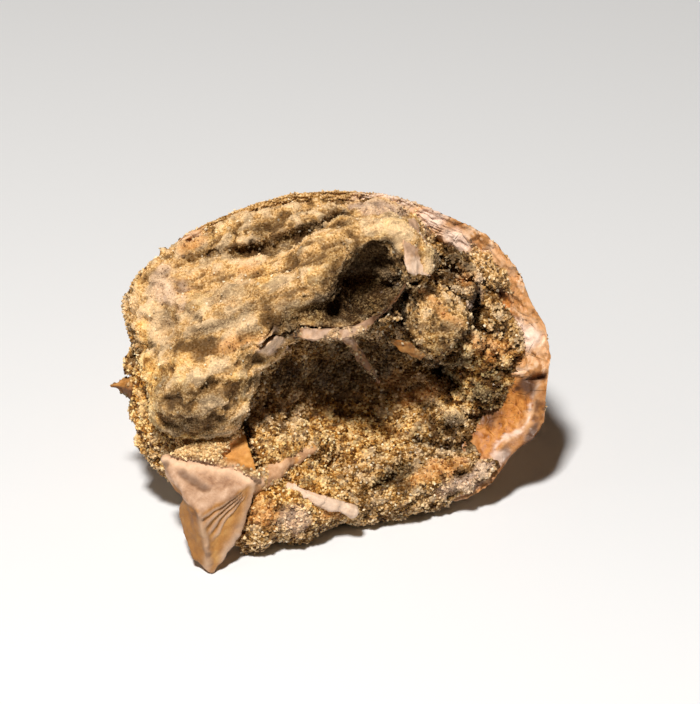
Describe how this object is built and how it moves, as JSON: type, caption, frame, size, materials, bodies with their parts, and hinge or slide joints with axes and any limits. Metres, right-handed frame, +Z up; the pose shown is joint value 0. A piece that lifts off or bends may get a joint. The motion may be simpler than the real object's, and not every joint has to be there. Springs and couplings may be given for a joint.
{
  "type": "fossil mosasaur tooth",
  "caption": "Fossil mosasaur tooth crown on its side, its broken base filled with cemented sand and tooth splinters.",
  "frame": {"origin": "middle of the bounding box in X and Y, on the surface that the fossil lies on", "axes": "+Z up; +Y from the broken base to the tip of the crown; +X to the right as seen from the broken base"},
  "size_m": [0.0312, 0.045, 0.0226],
  "materials": {
    "enamel": "glossy fossil enamel, caramel brown",
    "cemented_sand": "rough cemented phosphatic sand",
    "dentine": "satin pinkish fossil dentine",
    "amber_enamel": "waxy amber shard"
  },
  "bodies": {
    "root": {"tooth_crown": "enamel", "sand_fill": "cemented_sand", "corner_splinter": "dentine", "cave_lining": "dentine", "floor_splinter": "dentine", "hood_flake": "dentine", "knob_shard": "amber_enamel", "edge_chip": "dentine"}
  },
  "joints": []
}
